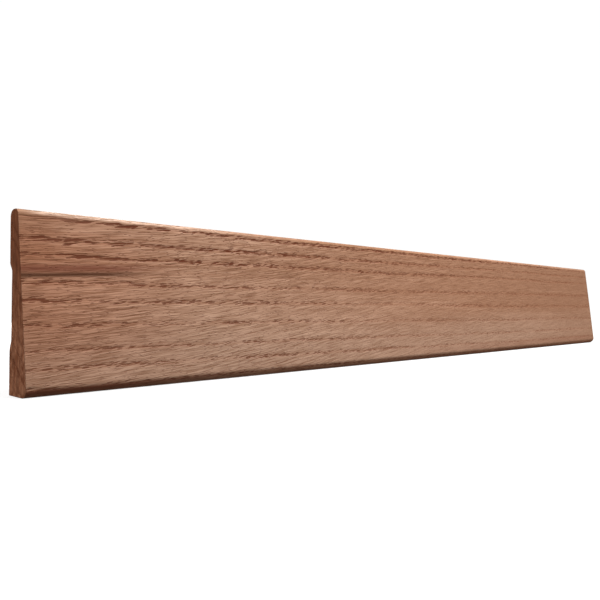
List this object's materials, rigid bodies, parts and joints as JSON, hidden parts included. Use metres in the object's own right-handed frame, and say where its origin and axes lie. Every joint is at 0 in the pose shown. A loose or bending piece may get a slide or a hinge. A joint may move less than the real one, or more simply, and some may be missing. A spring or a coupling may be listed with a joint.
{
  "type": "tapered wood threshold strip",
  "caption": "Solid oak strip milled to a tapered section, with a thin nosed edge, a thick eased edge and a relieved back, sawn square at both ends.",
  "frame": {"origin": "middle of the strip's bounding box, on the plane of the thick edge that the strip stands on", "axes": "+X along the strip, +Y out of the relieved back, +Z from the thick edge up to the thin nosed edge; the show face looks towards -Y"},
  "size_m": [0.445, 0.0122, 0.057],
  "materials": {
    "oak": "raw"
  },
  "bodies": {
    "root": {"oak_strip": "oak"}
  },
  "joints": []
}
